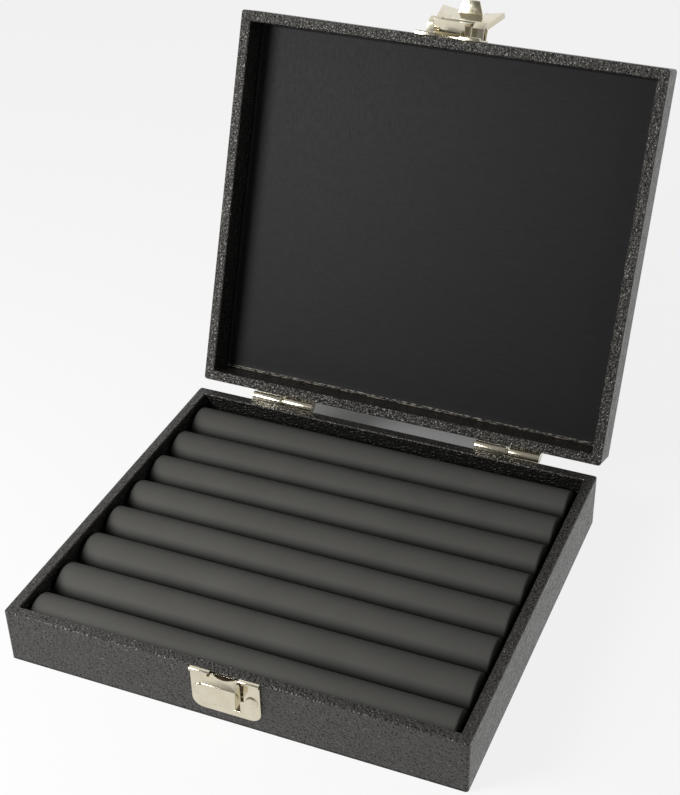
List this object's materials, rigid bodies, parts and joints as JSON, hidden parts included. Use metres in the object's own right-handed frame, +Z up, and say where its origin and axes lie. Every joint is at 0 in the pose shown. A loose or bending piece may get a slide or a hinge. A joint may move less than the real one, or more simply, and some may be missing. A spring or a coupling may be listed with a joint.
{
  "type": "ring display box",
  "caption": "Shallow wrapped box with a hinged lid, a row of padded ring rolls, a satin lid lining and a sprung hasp catch.",
  "frame": {"origin": "centre of the underside of the base", "axes": "+X to the right as seen from the catch side, +Y from the catch to the hinges, +Z up; the lid is stored open on its stop"},
  "size_m": [0.2094, 0.3008, 0.2087],
  "materials": {
    "leatherette": "satin",
    "roll_vinyl": "matte",
    "lining_satin": "satin",
    "fibreboard": "matte",
    "base_paper": "matte",
    "card": "matte",
    "foam": "matte",
    "nickel": "polished",
    "spring_steel": "satin"
  },
  "bodies": {
    "base": {"base_front_board": "fibreboard", "base_rear_board": "fibreboard", "base_left_board": "fibreboard", "base_right_board": "fibreboard", "base_floor_panel": "fibreboard", "base_wrap": "leatherette", "base_underside_cover": "base_paper", "insert_card": "card", "roll_core_1": "foam", "roll_core_2": "foam", "roll_core_3": "foam", "roll_core_4": "foam", "roll_core_5": "foam", "roll_core_6": "foam", "roll_core_7": "foam", "roll_core_8": "foam", "roll_cover_1": "roll_vinyl", "roll_cover_2": "roll_vinyl", "roll_cover_3": "roll_vinyl", "roll_cover_4": "roll_vinyl", "roll_cover_5": "roll_vinyl", "roll_cover_6": "roll_vinyl", "roll_cover_7": "roll_vinyl", "roll_cover_8": "roll_vinyl", "catch_plate": "nickel", "catch_nails": "nickel", "catch_pin": "nickel", "catch_spring": "spring_steel", "hinge_left_base_leaf": "nickel", "hinge_right_base_leaf": "nickel", "hinge_left_pin": "nickel", "hinge_right_pin": "nickel", "hinge_base_nails": "nickel"},
    "lid": {"lid_front_board": "fibreboard", "lid_rear_board": "fibreboard", "lid_left_board": "fibreboard", "lid_right_board": "fibreboard", "lid_top_panel": "fibreboard", "lid_wrap": "leatherette", "lid_top_cover": "leatherette", "lid_lining": "lining_satin", "hinge_left_lid_leaf": "nickel", "hinge_right_lid_leaf": "nickel", "hinge_lid_nails": "nickel", "hasp_plate": "nickel", "hasp_nails": "nickel", "hasp_housing": "nickel", "hasp_pin": "nickel"},
    "hasp": {"hasp_flap": "nickel"},
    "lever": {"catch_lever": "nickel"}
  },
  "joints": [
    {"name": "lid_hinge", "type": "hinge", "parent": "base", "child": "lid", "pos_m": [0, 0.09485, 0.0274], "axis": [1, 0, 0], "range_deg": [0, 111.3]},
    {"name": "hasp_swing", "type": "hinge", "parent": "lid", "child": "hasp", "pos_m": [0, 0.18066, 0.20233], "axis": [1, 0, 0], "range_deg": [0, 160.5]},
    {"name": "catch_press", "type": "hinge", "parent": "base", "child": "lever", "pos_m": [0, -0.0912, 0.0166], "axis": [1, 0, 0], "range_deg": [0, 6], "stiffness_Nm_per_rad": 0.15, "springref_deg": -5.73}
  ]
}
